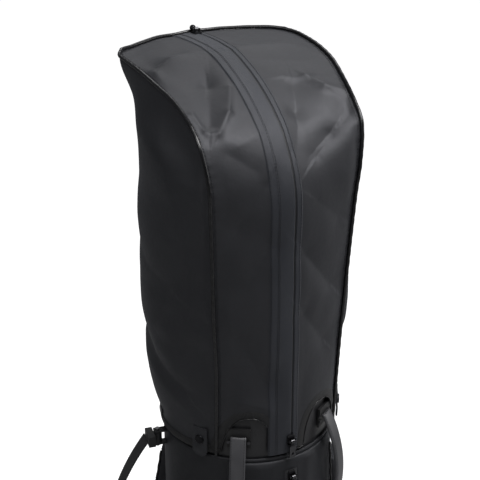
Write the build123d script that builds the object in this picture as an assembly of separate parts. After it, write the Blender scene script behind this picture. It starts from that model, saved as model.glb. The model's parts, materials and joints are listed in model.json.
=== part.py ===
"""A caddy golf bag with its zip-up travel hood: every piece of the bag, the hood and their moving fittings.

Millimetres, +Z up. The origin is on the floor under the middle of the base. The zip side, the front, faces -Y.
"""

import math
import os

from build123d import *

# ---- driving dimensions ----
body_radius = 118.5  # outside of the bag's tube
fabric = 2.0  # stiffened cloth of the tube and the pockets
foot_height = 6.0
base_floor = 4.0
base_height = 70.0
hem_z = 790.0  # lower edge of the hood
collar_radius = 115.2
collar_wall = 8.0
collar_bottom = 785.0
collar_top = 865.0

# ---- hood: side profile of the zip line, measured from the hem ----
front_y = -120.0  # the zip runs straight up at this depth
front_straight = 345.0
bend_radius, bend_angle = 131.0, 53.0
slope_radius, slope_angle = 268.0, 37.0
crown_radius, crown_angle = 600.0, 12.0
seam_angle = 47.2  # from the front to each piped seam, round the bag's axis

# hood: plan at each height above the hem.
# height, front depth, then x and y of the seam, the side and the back corner, then the back depth
hood_plans = [
    (0.0, -120.0, (88.05, -81.53), (120.0, 0.0), (84.85, 84.85), 120.0),
    (14.0, -120.0, (88.05, -81.53), (120.0, 0.0), (84.85, 84.85), 120.0),
    (90.0, -120.0, (89.0, -83.5), (129.0, 8.0), (96.0, 96.0), 132.0),
    (200.0, -120.0, (93.0, -87.5), (131.0, 15.0), (102.0, 104.0), 143.0),
    (345.0, -119.9, (101.0, -94.5), (129.5, 25.0), (104.0, 112.0), 151.0),
    (440.0, -131.0, (110.0, -101.0), (126.0, 40.0), (106.0, 114.0), 152.0),
    (520.0, -141.0, (114.0, -104.0), (131.0, 62.0), (117.0, 126.0), 169.0),
]

# ---- hood: trim and closure ----
cloth = 1.5
tape_half = 10.0
zip_slot = 1.2  # half the gap that the sliders' necks run in
coil_half = 4.0
coil_depth = 1.2
zip_back_end = 157.0
flap_width = 21.0
piping_radius = 1.6
binding_height = 12.0
notch_angle = 26.3  # the hem's arches over the handles
notch_half_width = 36.0
notch_height = 58.0
tab_angle = 58.0
snap_height = 21.0
snap_radius = 6.5
snap_angles = (58.0, -58.0, 100.0, -100.0, 145.0, -145.0)

# ---- handles ----
handle_angle = 33.5
handle_width = 21.0
handle_top = hem_z + 31.0
handle_bottom = 676.0
handle_thickness = 5.0

# ---- front pocket ----
front_pocket_angle = 40.5
front_pocket_top = 780.0
front_zip_top, front_zip_top_radius = 768.0, 124.0
front_zip_low, front_zip_low_radius = 380.0, 146.0
front_pocket_bottom = 292.0

# ---- side pockets: centre angle, half angle ----
right_pocket = (84.0, 27.0)
left_pocket = (-152.0, 25.0)
side_pocket_low, side_pocket_high = 230.0, 712.0
side_pocket_radius = 150.0

# ---- shoulder strap ----
strap_angle = -100.0
strap_top_z, strap_low_z = 768.0, 400.0
strap_pin_radius = 3.0
strap_axis_radius = 131.0
strap_width = 52.0
strap_bulge = 62.0

# ---- inside ----
divider_thickness = 5.0
divider_cross_y = 38.0
divider_depth = 22.0
panel_thickness = 1.6
panel_bottom = foot_height + base_floor + 1.0
rod_radius = 3.0
rod_angles = (20.0, 140.0, -100.0)

big = 400.0


def save(name, shape):
    """Writes one node."""
    export_step(shape, f"parts/{name}.step")


def ring(outer, inner, low, high):
    """A round tube about the bag's axis."""
    wall = Cylinder(outer, high - low) - Cylinder(inner, high - low + 2)
    return Pos(0, 0, (low + high) / 2) * wall


def block(x, y, z):
    """A box between three pairs of limits."""
    size = [b - a for a, b in (x, y, z)]
    return Pos(*((a + b) / 2 for a, b in (x, y, z))) * Box(*size)


def around(angle):
    """Turns a piece made at the front, -Y, to an angle towards +X."""
    return Rot(0, 0, angle)


def wedge(low, high, bottom=-20.0, top=1400.0):
    """A pie slice about the axis between two angles from the front."""
    corners = [(0.0, 0.0)]
    for angle in (low, (low + high) / 2, high):
        corners.append((big * math.sin(math.radians(angle)), -big * math.cos(math.radians(angle))))
    face = make_face(Polyline(*corners, close=True))
    return Pos(0, 0, bottom) * extrude(face, top - bottom)


# ---- the hood's outer shape ----
def hood_plan(level, grow):
    """One closed plan of the hood: an arc for the front, for each side and for the back."""
    height, front, seam, side, corner, back = level
    seam = (seam[0] + 0.73 * grow, seam[1] - 0.68 * grow)
    side = (side[0] + grow, side[1])
    corner = (corner[0] + 0.71 * grow, corner[1] + 0.71 * grow)
    seam_left, side_left, corner_left = [(-x, y) for x, y in (seam, side, corner)]
    arcs = ThreePointArc(seam_left, (0, front - grow), seam)
    arcs += ThreePointArc(seam, side, corner)
    arcs += ThreePointArc(corner, (0, back + grow), corner_left)
    arcs += ThreePointArc(corner_left, side_left, seam_left)
    return Pos(0, 0, hem_z + height) * make_face(arcs)


def hood_tube(grow):
    """The hood's walls as a solid, grown by a distance."""
    return loft([hood_plan(level, grow) for level in hood_plans], ruled=True)


def hood_profile(grow, out=0.0):
    """Everything under the zip line's side profile, grown by a distance. Out moves only its straight front."""
    low = hem_z
    start_y = front_y - grow
    bend = (front_y + bend_radius, hem_z + front_straight)
    turn = math.radians(180 - bend_angle)
    slide = slope_radius - bend_radius
    slope = (bend[0] - slide * math.cos(turn), bend[1] - slide * math.sin(turn))
    crown = (slope[0], slope[1] + slope_radius - crown_radius)
    arcs = [
        CenterArc(bend, bend_radius + grow, 180, -bend_angle),
        CenterArc(slope, slope_radius + grow, 180 - bend_angle, -slope_angle),
        CenterArc(crown, crown_radius + grow, 90, -crown_angle),
    ]
    end = arcs[-1] @ 1
    corners = [(end.X, end.Y), (end.X, low), (start_y - out, low), (start_y - out, bend[1])]
    if out:
        corners.append((start_y, bend[1]))
    face = make_face(Plane.YZ * (arcs[0] + arcs[1] + arcs[2] + Polyline(*corners)))
    return extrude(face, big / 2, both=True)


def crown_centre():
    """Centre of the last arc of the zip line, as y and z."""
    turn = math.radians(180 - bend_angle)
    slide = slope_radius - bend_radius
    y = front_y + bend_radius - slide * math.cos(turn)
    z = hem_z + front_straight - slide * math.sin(turn) + slope_radius - crown_radius
    return y, z


def arch_cutter(side, grow=0.0):
    """The opening over one handle: an arch in the hem."""
    width, height = notch_half_width + grow, notch_height + grow
    springing = height - 18.0
    outline = Polyline((width, springing), (width, -20.0), (-width, -20.0), (-width, springing))
    top = ThreePointArc((-width, springing), (0, height), (width, springing))
    face = make_face(Plane.XZ * (outline + top))
    return around(side * notch_angle) * Pos(0, 0, hem_z) * extrude(face, 170.0, dir=(0, -1, 0))


def save_hood():
    tube, tube_in = hood_tube(0), hood_tube(-cloth)
    under, under_in = hood_profile(0, 15), hood_profile(-cloth, 15)
    arches = arch_cutter(1) + arch_cutter(-1)

    body = tube & under
    skirt = tube - tube_in
    wall = (skirt & hood_profile(-cloth - 0.25, 15)) - wedge(-seam_angle - 0.15, seam_angle + 0.15)
    save("hood_side_and_back", wall)
    front = (body - under_in) + ((skirt & under_in & wedge(-seam_angle, seam_angle)) - arches)
    edge = tape_half + 0.2
    save("hood_front_left", front & block((-big, -edge), (-big, big), (0, 1400)))
    save("hood_front_right", front & block((edge, big), (-big, big), (0, 1400)))

    coil_top, coil_low = -cloth - 0.3, -cloth - 0.3 - coil_depth
    coil_layer = hood_profile(coil_top) - hood_profile(coil_low)
    along = (front_y - 5, zip_back_end)
    for name, side in (("left", -1), ("right", 1)):
        tape_x = sorted((side * zip_slot, side * tape_half))
        coil_x = sorted((side * zip_slot, side * coil_half))
        save(f"hood_zip_tape_{name}", front & block(tape_x, (-big, big), (0, 1400)))
        save(f"hood_zip_coil_{name}", coil_layer & block(coil_x, along, (0, 1400)))
    stop_y = (zip_back_end, zip_back_end + 4)
    stop = (hood_profile(0) - hood_profile(-cloth)) & block((-0.9, 0.9), stop_y, (0, 1400))
    save("hood_zip_top_stop", stop)

    flap = hood_profile(1.1) - hood_profile(0.3)
    save("hood_storm_flap", flap & block((-flap_width, -zip_slot - 0.3), along, (0, 1400)))
    save_piping(body)
    save_hem(arches)


def save_piping(body):
    """One cord: up a seam, round the top's edge behind, and down the other seam."""
    rim = {}
    for face in body.faces().filter_by(GeomType.CYLINDER).filter_by_position(Axis.Z, hem_z + 200, 1400):
        for edge in face.edges():
            for share in (0.1, 0.3, 0.5, 0.7, 0.9):
                point = edge @ share
                angle = abs(math.degrees(math.atan2(point.X, -point.Y)))
                if edge.geom_type != GeomType.LINE and angle > seam_angle + 1.5:
                    rim[round(angle)] = (abs(point.X), point.Y, point.Z)
    off = piping_radius + 1.5
    seam, top = [], []
    for (low, _, here, *_), (high, _, there, *_) in zip(hood_plans[:5], hood_plans[1:6]):
        for share in (0.05, 0.5):
            x, y = [a + (b - a) * share for a, b in zip(here, there)]
            seam.append((x + 0.73 * off, y - 0.68 * off, hem_z + low + (high - low) * share))
    for angle in sorted(rim):
        x, y, z = rim[angle]
        turn = math.atan2(x, -y)
        top.append((x + off * math.sin(turn), y - off * math.cos(turn), z + 0.5))
    cord = None
    for points in (seam + top[:1], top):
        line = Spline(*points)
        run = sweep(Plane(origin=line @ 0, z_dir=line % 0) * Circle(piping_radius), path=line, is_frenet=True)
        cord = run if cord is None else cord + run
    save("hood_piping", cord + mirror(cord, about=Plane.YZ))


def save_hem(arches):
    """Bindings at the hood's lower edge, with the snap fasteners."""
    skin = ring(121.5, 120.3, hem_z, hem_z + binding_height)
    half = math.degrees((flap_width + 1) / 120)
    clear = wedge(-half, half) + wedge(seam_angle - 1.6, seam_angle + 1.6)
    clear += wedge(-seam_angle - 1.6, -seam_angle + 1.6)
    save("hood_hem_binding", skin - clear - arches)
    for name, side in (("left", -1), ("right", 1)):
        band = ring(122.6, 121.4, hem_z + binding_height + 0.3, hem_z + 90)
        save(f"hood_arch_binding_{name}", band & (arch_cutter(side, 4.5) - arches - clear))

    caps, studs, tabs = [], [], []
    out = 123.4
    for angle in snap_angles:
        here = out
        if abs(angle) == tab_angle:
            tab = block((-11, 11), (-out - 2.4, -out - 0.4), (hem_z - 6, hem_z + 38))
            tab = fillet(tab.edges().filter_by(Axis.Y).group_by(Axis.Z)[0], 6)
            tabs.append(around(angle) * tab)
            here += 2.6
        cap = Pos(0, -here - 1.2, hem_z + snap_height) * Rot(90, 0, 0) * Cylinder(snap_radius, 2.0)
        cap = fillet(cap.edges().group_by(Axis.Y)[0], 0.9)
        caps.append(around(angle) * cap)
        stud = Pos(0, -collar_radius - 0.9, hem_z + snap_height) * Rot(90, 0, 0) * Cylinder(5.0, 1.2)
        studs.append(around(angle) * stud)
    save("hood_snap_caps", Compound(children=caps))
    save("hood_pull_tabs", Compound(children=tabs))
    save("collar_snap_studs", Compound(children=studs))


# ---- zip sliders, made with the tape's face at y = 0 and the pull's side at -Y, pointing up the zip ----
def slider(lift, deep):
    """A slider that straddles the tapes, with its neck in the slot. Lift is its height over the tape."""
    outer = block((-5.5, 5.5), (-lift - 2.0, -lift), (-8.0, 8.0))
    outer = fillet(outer.edges().filter_by(Axis.Y), 3.0)
    neck = block((-0.8, 0.8), (-lift - 0.5, deep + 0.5), (-3.0, 5.0))
    inner = block((-5.0, 5.0), (deep, deep + 1.2), (-7.0, 7.0))
    inner = fillet(inner.edges().filter_by(Axis.Y), 2.5)
    bar = Pos(0, -lift - 5.2, 0) * Rot(0, 90, 0) * Cylinder(1.1, 9.0)
    posts = [block((x - 0.9, x + 0.9), (-lift - 6.0, -lift - 1.0), (-2.0, 2.0)) for x in (-4.0, 4.0)]
    return outer + neck + inner + bar + posts[0] + posts[1]


def pull(lift, length):
    """A pull tab that hangs from the slider's bar."""
    eye = Pos(0, -lift - 5.2, 0) * Rot(0, 90, 0) * (Cylinder(2.6, 5.0) - Cylinder(1.4, 6.0))
    y = -lift - 5.2
    stem = block((-2.5, 2.5), (y - 0.9, y + 0.9), (-length, -2.2))
    head = block((-4.5, 4.5), (y - 1.2, y + 1.2), (-length - 12.0, -length + 8.0))
    head = fillet(head.edges().filter_by(Axis.Y), 3.0)
    hole = Pos(0, y, -length - 5.0) * Rot(90, 0, 0) * Cylinder(1.8, 6.0)
    return eye + stem + head - hole


def knob_pull(lift):
    """A short pull with a round knob, for the upper slider."""
    y = -lift - 5.2
    eye = Pos(0, y, 0) * Rot(0, 90, 0) * (Cylinder(2.6, 5.0) - Cylinder(1.4, 6.0))
    stem = Pos(0, y, 5.0) * Cylinder(1.5, 6.4)
    knob = Pos(0, y, 11.5) * Sphere(4.2)
    return eye + stem + knob


def save_hood_sliders():
    deep = cloth + coil_depth + 0.5
    at = Pos(0, front_y, hem_z + 20.0)
    save("hood_lower_slider", at * slider(1.5, deep))
    save("hood_lower_pull", at * pull(1.5, 14.0))
    y, z = crown_centre()
    reach = 148.0 - y
    turn = math.degrees(math.asin(reach / crown_radius))
    face_z = z + crown_radius * math.cos(math.radians(turn))
    at = Pos(0, y + reach, face_z) * Rot(-90 - turn, 0, 0)
    save("hood_upper_slider", at * slider(1.5, deep))
    save("hood_upper_pull", at * knob_pull(1.5))


# ---- bag: base, tube, collar and dividers ----
def save_bag():
    outline = Polyline(
        (0, foot_height),
        (112, foot_height),
        (119, foot_height + 8),
        (122.5, base_height),
        (119, base_height),
        (119, foot_height + base_floor),
        (0, foot_height + base_floor),
        close=True,
    )
    save("base_cup", revolve(make_face(Plane.XZ * outline), Axis.Z))
    feet, screws = [], []
    for i in range(4):
        turn = Rot(0, 0, 45 + 90 * i)
        pad = Pos(86, 0, foot_height / 2) * Cylinder(20, foot_height)
        pad = fillet(pad.edges().group_by(Axis.Z)[0], 1.5)
        pad -= Pos(86, 0, 1.0) * Cylinder(5.2, 6.0)
        screw = Pos(86, 0, 2.6) * Cylinder(4.8, 2.4)
        feet.append(turn * pad)
        screws.append(turn * screw)
    middle = Pos(0, 0, foot_height / 2) * Cylinder(24, foot_height)
    feet.append(fillet(middle.edges().group_by(Axis.Z)[0], 1.5))
    save("base_feet", Compound(children=feet))
    save("foot_screws", Compound(children=screws))
    floor = foot_height + base_floor
    save("body_tube", ring(body_radius, body_radius - fabric, floor + 0.2, collar_bottom - 0.2))

    rim = ring(collar_radius, collar_radius - collar_wall, collar_bottom - 25, collar_top)
    rim = fillet(rim.edges().group_by(Axis.Z)[-1], 3.5)
    save("collar", rim)
    rods = []
    for angle in rod_angles:
        length = collar_bottom - 25.5 - floor
        rods.append(around(angle) * Pos(0, -112.0, floor + length / 2) * Cylinder(rod_radius, length))
    save("stay_rods", Compound(children=rods))


def save_dividers():
    inner = collar_radius - collar_wall - 0.3
    low, high = collar_top - 6 - divider_depth, collar_top - 6
    half = divider_thickness / 2
    bars = block((-half, half), (-big, big), (low, high))
    for y in (-divider_cross_y, divider_cross_y):
        bars += block((-big, big), (y - half, y + half), (low, high))
    bars &= Pos(0, 0, (low + high) / 2) * Cylinder(inner, divider_depth)
    save("divider_bars", bars)
    thin = panel_thickness / 2
    reach = 105.0
    long_panel = block((-thin, thin), (-reach, reach), (panel_bottom, low - 0.2))
    save("divider_long_panel", long_panel)
    halves = []
    width = math.sqrt(reach**2 - divider_cross_y**2) - 1.0
    for y in (-divider_cross_y, divider_cross_y):
        for side in (-1, 1):
            x = sorted((side * (thin + 0.2), side * width))
            halves.append(block(x, (y - thin, y + thin), (panel_bottom, low - 0.2)))
    save("divider_cross_panels", Compound(children=halves))


# ---- bag: pockets ----
def pocket(outline, inner_outline, centre, half_angle):
    """A pocket sewn on the tube: a slice of a turned profile, hollow and open to the tube."""
    def slice_of(points, half):
        face = make_face(Plane.XZ * Polyline(*points, close=True))
        whole = revolve(face, Axis.Z, 2 * half)
        return Rot(0, 0, -90 - half) * whole

    edge = math.degrees(fabric / body_radius)
    shell = slice_of(outline, half_angle) - slice_of(inner_outline, half_angle - edge)
    shell -= Pos(0, 0, 600) * Cylinder(body_radius, 1200)
    return around(centre) * shell


def front_pocket_outline(grow):
    inside = body_radius - 4.0
    slope = (front_zip_low_radius - front_zip_top_radius) / (front_zip_top - front_zip_low)
    top = front_pocket_top + grow
    return [
        (inside, top),
        (front_zip_top_radius - 3 + grow, top),
        (front_zip_top_radius + grow, front_zip_top),
        (front_zip_low_radius + grow, front_zip_low),
        (front_zip_low_radius + 12 * slope + grow, front_pocket_bottom + 30),
        (front_zip_low_radius - 12 + grow, front_pocket_bottom - grow),
        (inside, front_pocket_bottom - grow),
    ]


def side_pocket_outline(grow):
    inside = body_radius - 4.0
    return [
        (inside, side_pocket_high + grow),
        (body_radius + 8 + grow, side_pocket_high + grow),
        (side_pocket_radius + grow, side_pocket_high - 110),
        (side_pocket_radius + grow, side_pocket_low + 40),
        (side_pocket_radius - 14 + grow, side_pocket_low - grow),
        (inside, side_pocket_low - grow),
    ]


def save_pockets():
    slot = block((-zip_slot, zip_slot), (-big, -body_radius - 2.0), (front_zip_low, front_zip_top))
    front = pocket(front_pocket_outline(0), front_pocket_outline(-fabric), 0, front_pocket_angle)
    save("front_pocket", front - slot)

    fall = math.degrees(math.atan2(front_zip_low_radius - front_zip_top_radius, front_zip_top - front_zip_low))
    lean = Rot(-fall, 0, 0)
    run = (front_zip_top - front_zip_low) / math.cos(math.radians(fall))
    at = Pos(0, -front_zip_top_radius, front_zip_top) * lean
    for name, side in (("left", -1), ("right", 1)):
        x = sorted((side * zip_slot, side * tape_half))
        tape = block(x, (-0.9, -0.1), (-run + 3, -3))
        save(f"front_pocket_zip_tape_{name}", at * tape)
    here = at * Pos(0, -0.9, -12.0)
    save("front_pocket_slider", here * slider(0.3, fabric + 1.4))
    save("front_pocket_pull", here * pull(0.3, 12.0))

    for name, (centre, half) in (("right", right_pocket), ("left", left_pocket)):
        shell = pocket(side_pocket_outline(0), side_pocket_outline(-fabric), 0, half)
        low, high = side_pocket_low + 50, side_pocket_high - 120
        gap = block((-zip_slot, zip_slot), (-big, -body_radius - 2.0), (low, high))
        turned = around(centre)
        save(f"{name}_pocket", turned * (shell - gap))
        tapes = []
        for side in (-1, 1):
            x = sorted((side * zip_slot, side * 8.0))
            out = side_pocket_radius
            tapes.append(turned * block(x, (-out - 0.9, -out - 0.05), (low + 2, high - 2)))
        save(f"{name}_pocket_zip_tapes", Compound(children=tapes))
        here = turned * Pos(0, -side_pocket_radius - 0.9, high - 12.0)
        save(f"{name}_pocket_slider", here * slider(0.3, fabric + 1.4))
        save(f"{name}_pocket_pull", here * pull(0.3, 12.0))


# ---- bag: handles ----
def save_handles():
    """Two grips, each a bowed strap between a plate on the collar and a plate on the front pocket."""
    slope = (front_zip_low_radius - front_zip_top_radius) / (front_zip_top - front_zip_low)
    low_radius = front_zip_top_radius + slope * (front_zip_top - handle_bottom)
    plates, low_plates, screws = [], [], []
    for name, side in (("left", -1), ("right", 1)):
        turn = around(side * handle_angle)
        top_y, low_y = -collar_radius - 0.4, -low_radius - 1.5
        middle_y, middle_z = -141.0, 742.0
        path = ThreePointArc((top_y - 2.5, handle_top), (middle_y, middle_z), (low_y - 2.5, handle_bottom))
        inner = path
        outer = ThreePointArc(
            (top_y - 2.5 - handle_thickness, handle_top),
            (middle_y - handle_thickness, middle_z),
            (low_y - 2.5 - handle_thickness, handle_bottom),
        )
        ends = Line(inner @ 0, outer @ 0) + Line(inner @ 1, outer @ 1)
        face = make_face(Plane.YZ * (inner + outer + ends))
        strap = extrude(face, handle_width / 2, both=True)
        save(f"handle_{name}", turn * strap)
        saddle = block((-16, 16), (top_y - 4.0, top_y), (handle_top, handle_top + 11))
        saddle += block((-16, 16), (top_y - 2.3, top_y), (handle_top - 18, handle_top + 1))
        plates.append(turn * saddle)
        low_plate = block((-15, 15), (low_y - 2.3, low_y), (handle_bottom - 4, handle_bottom + 16))
        low_plate += block((-15, 15), (low_y - 9.0, low_y), (handle_bottom - 14, handle_bottom - 0.2))
        low_plates.append(turn * low_plate)
        for x in (-13.2, 13.2):
            head = Pos(x, top_y - 3.3, handle_top - 9) * Rot(90, 0, 0) * Cylinder(2.4, 2.0)
            screws.append(turn * head)
    save("handle_top_plates", Compound(children=plates))
    save("handle_low_plates", Compound(children=low_plates))
    save("handle_screws", Compound(children=screws))


# ---- shoulder strap ----
def strap_frame():
    """The plane that the strap hangs in: x runs down the pins' line, y points out from the bag."""
    turn = math.radians(strap_angle)
    top = (strap_axis_radius * math.sin(turn), -strap_axis_radius * math.cos(turn), strap_top_z)
    sideways = (-math.cos(turn), -math.sin(turn), 0)
    return Plane(origin=top, x_dir=(0, 0, -1), z_dir=sideways)


def save_strap():
    plane = strap_frame()
    run = strap_top_z - strap_low_z
    span = 16.0  # each pin's barrel
    brackets, pins, barrels = [], [], []
    for x in (0.0, run):
        pin = Pos(x, 0, 0) * Rot(0, 90, 0) * Cylinder(strap_pin_radius, span + 12)
        pins.append(plane * pin)
        for side in (-1, 1):
            ear_x = sorted((x + side * (span / 2 + 0.4), x + side * (span / 2 + 3.4)))
            ear = block(ear_x, (-16.0, 5.0), (-5.0, 5.0))
            ear -= Pos(x, 0, 0) * Rot(0, 90, 0) * Cylinder(strap_pin_radius + 0.2, 80)
            brackets.append(plane * ear)
        barrel = Pos(x, 0, 0) * Rot(0, 90, 0) * (Cylinder(6.0, span) - Cylinder(strap_pin_radius + 0.35, span + 2))
        tongue = block((x - 8, x + 8), (5.4, 15.0), (-13.0, 13.0))
        window = block((x - 4, x + 4), (9.0, 12.5), (-10.5, 10.5))
        barrels.append(plane * (barrel + tongue - window))
    clear = Pos(0, 0, 600) * Cylinder(body_radius, 1200)
    save("strap_brackets", Compound(children=[ear - clear for ear in brackets]))
    save("strap_pins", Compound(children=pins))
    save("strap_end_top", barrels[0])
    save("strap_end_low", barrels[1])

    def bow(offset, start, end):
        """A curve beside the strap's own line, from one distance along the pins' line to another."""
        rise = strap_bulge + offset
        return ThreePointArc((start, 15.4 + offset), (run / 2, 15.4 + rise), (end, 15.4 + offset))

    def band(low, high, start, end, width):
        inner, outer = bow(low, start, end), bow(high, start, end)
        face = make_face(inner + outer + Line(inner @ 0, outer @ 0) + Line(inner @ 1, outer @ 1))
        return plane * extrude(face, width / 2, both=True)

    webbing = band(0.0, 2.0, 0.0, run, 25.0)
    save("strap_webbing", webbing)
    middle = plane * block((70, run - 60), (0, 200), (-60, 60))
    save("strap_pad", band(2.2, 14.0, 0.0, run, strap_width) & middle)
    buckle = plane * block((run - 52, run - 26), (0, 200), (-17, 17))
    save("strap_adjuster", band(2.3, 6.0, 0.0, run, 34.0) & buckle)


def main():
    os.makedirs("parts", exist_ok=True)
    save_bag()
    save_dividers()
    save_pockets()
    save_handles()
    save_strap()
    save_hood()
    save_hood_sliders()


main()
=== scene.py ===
import json
import math
import bmesh
import bpy
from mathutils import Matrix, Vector, noise


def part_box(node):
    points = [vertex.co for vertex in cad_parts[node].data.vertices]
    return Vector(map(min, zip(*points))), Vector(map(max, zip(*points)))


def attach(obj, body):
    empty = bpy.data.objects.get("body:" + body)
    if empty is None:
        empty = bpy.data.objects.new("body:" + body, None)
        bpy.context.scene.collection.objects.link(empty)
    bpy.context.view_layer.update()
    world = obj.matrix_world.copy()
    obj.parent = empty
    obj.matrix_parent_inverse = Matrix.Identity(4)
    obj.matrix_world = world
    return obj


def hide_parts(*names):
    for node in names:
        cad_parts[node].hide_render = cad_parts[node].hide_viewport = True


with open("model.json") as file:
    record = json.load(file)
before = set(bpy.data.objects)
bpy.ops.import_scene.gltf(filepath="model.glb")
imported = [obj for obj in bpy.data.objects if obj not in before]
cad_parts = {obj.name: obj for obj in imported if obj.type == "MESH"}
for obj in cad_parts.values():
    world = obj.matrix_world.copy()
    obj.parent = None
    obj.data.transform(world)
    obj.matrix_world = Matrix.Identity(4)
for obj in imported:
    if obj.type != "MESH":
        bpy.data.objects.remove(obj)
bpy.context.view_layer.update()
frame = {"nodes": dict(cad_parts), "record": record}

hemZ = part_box("hood_hem_binding")[0].z
print("frame loaded, hood hem at", round(hemZ, 3))


# small helpers
def smooth(low, high, x):
    t = min(1.0, max(0.0, (x - low) / (high - low)))
    return t * t * (3 - 2 * t)


def fromKeys(keys, x):
    # smooth curve through (x, value) pairs, a value may be a tuple
    if x <= keys[0][0]:
        return keys[0][1]
    for i in range(len(keys) - 1):
        if x <= keys[i + 1][0]:
            a, b = keys[i], keys[i + 1]
            before, after = keys[max(i - 1, 0)], keys[min(i + 2, len(keys) - 1)]
            span = b[0] - a[0]
            t = (x - a[0]) / span
            values = []
            parts = [v if isinstance(v, tuple) else (v,) for v in (before[1], a[1], b[1], after[1])]
            for p, q, r, w in zip(*parts):
                m0 = (r - p) / max(b[0] - before[0], 1e-9) * span
                m1 = (w - q) / max(after[0] - a[0], 1e-9) * span
                h = 2 * t**3 - 3 * t * t
                values.append((h + 1) * q + (t**3 - 2 * t * t + t) * m0 - h * r + (t**3 - t * t) * m1)
            return tuple(values) if len(values) > 1 else values[0]
    return keys[-1][1]


def polar(angle, r, z):
    # angle in degrees from the front, towards +X
    a = math.radians(angle)
    return Vector((r * math.sin(a), -r * math.cos(a), z))


def acrossAt(angle):
    # level direction along the bag's wall at an angle from the front
    return Vector((math.cos(math.radians(angle)), math.sin(math.radians(angle)), 0))


def addMesh(name, verts, faces, uvs=None, smoothShade=True):
    mesh = bpy.data.meshes.new(name)
    mesh.from_pydata([tuple(v) for v in verts], [], faces)
    if uvs:
        layer = mesh.uv_layers.new(name="clothUv")
        for loop in mesh.loops:
            layer.data[loop.index].uv = uvs[loop.vertex_index]
    mesh.polygons.foreach_set("use_smooth", [smoothShade] * len(mesh.polygons))
    mesh.update()
    piece = bpy.data.objects.new(name, mesh)
    bpy.context.scene.collection.objects.link(piece)
    return piece


def gridPiece(name, rows, uvRows=None, closed=False):
    # a sheet of quads from rows of points
    count = len(rows[0])
    verts = [p for row in rows for p in row]
    uvs = [uv for row in uvRows for uv in row] if uvRows else None
    faces = []
    for i in range(len(rows) - 1):
        for j in range(count if closed else count - 1):
            k = (j + 1) % count
            faces.append((i * count + j, i * count + k, (i + 1) * count + k, (i + 1) * count + j))
    return addMesh(name, verts, faces, uvs)


def finishMesh(piece, thickness=None, offset=-1.0, bevel=None, levels=0):
    # thickness, soft edges and rounding, all applied
    if thickness:
        solid = piece.modifiers.new("thickness", "SOLIDIFY")
        solid.thickness = thickness
        solid.offset = offset
    if bevel:
        edge = piece.modifiers.new("edge", "BEVEL")
        edge.width = bevel
        edge.segments = 2
    if levels:
        sub = piece.modifiers.new("round", "SUBSURF")
        sub.levels = levels
    bakeDown(piece)
    return piece


def bakeDown(piece):
    graph = bpy.context.evaluated_depsgraph_get()
    mesh = bpy.data.meshes.new_from_object(piece.evaluated_get(graph))
    piece.modifiers.clear()
    old = piece.data
    piece.data = mesh
    bpy.data.meshes.remove(old)


def paint(piece, material):
    piece.data.materials.clear()
    piece.data.materials.append(material)
    return piece


def settle(piece, body, material, slot, *nodes):
    # last call on a piece: its finish, its body and the CAD nodes that it stands for
    paint(piece, material)
    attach(piece, body)
    if nodes:
        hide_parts(*nodes)
    return piece


# finishes
def newMaterial(name):
    material = bpy.data.materials.new(name)
    material.use_nodes = True
    tree = material.node_tree
    shader = next(n for n in tree.nodes if n.type == "BSDF_PRINCIPLED")
    return material, tree, shader


def node(tree, kind, **values):
    made = tree.nodes.new(kind)
    for key, value in values.items():
        if key in made.inputs:
            made.inputs[key].default_value = value
        else:
            setattr(made, key, value)
    return made


def mixedColour(tree, factor, dark, light, low=0.35, high=0.65):
    ramp = tree.nodes.new("ShaderNodeValToRGB")
    ramp.color_ramp.elements[0].position = low
    ramp.color_ramp.elements[0].color = (*dark, 1)
    ramp.color_ramp.elements[1].position = high
    ramp.color_ramp.elements[1].color = (*light, 1)
    tree.links.new(factor, ramp.inputs["Fac"])
    return ramp.outputs["Color"]


def bumpChain(tree, shader, heights):
    # heights: (socket, strength, distance), laid one over the other
    last = None
    for socket, strength, distance in heights:
        bump = node(tree, "ShaderNodeBump", Strength=strength, Distance=distance)
        tree.links.new(socket, bump.inputs["Height"])
        if last:
            tree.links.new(last, bump.inputs["Normal"])
        last = bump.outputs["Normal"]
    tree.links.new(last, shader.inputs["Normal"])


waveLength = 0.314  # one wave of a wave texture whose scale is 1
twillPitch = 0.0009
clothLook = {
    "broad": 7.0, "fine": 160.0, "fleck": 900.0, "smoother": 0.06, "rougher": 0.08, "fleckDepth": 0.00012,
    "threadDepth": 0.00022, "sheenRoughness": 0.45, "sheenTint": (0.86, 0.9, 1.0, 1),
    "specularTint": (0.93, 0.94, 1.0, 1),
}


def weaveHeight(tree, coord, across, along, detail=0.0):
    # over-and-under threads of a plain weave
    waves = []
    for axis, size in (("X", across), ("Y", along)):
        wave = node(tree, "ShaderNodeTexWave", Scale=waveLength / size, Distortion=detail)
        wave.bands_direction = axis
        wave.wave_profile = "SIN"
        tree.links.new(coord, wave.inputs["Vector"])
        waves.append(wave.outputs["Fac"])
    join = node(tree, "ShaderNodeMath", operation="MULTIPLY")
    tree.links.new(waves[0], join.inputs[0])
    tree.links.new(waves[1], join.inputs[1])
    return join.outputs[0]


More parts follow.
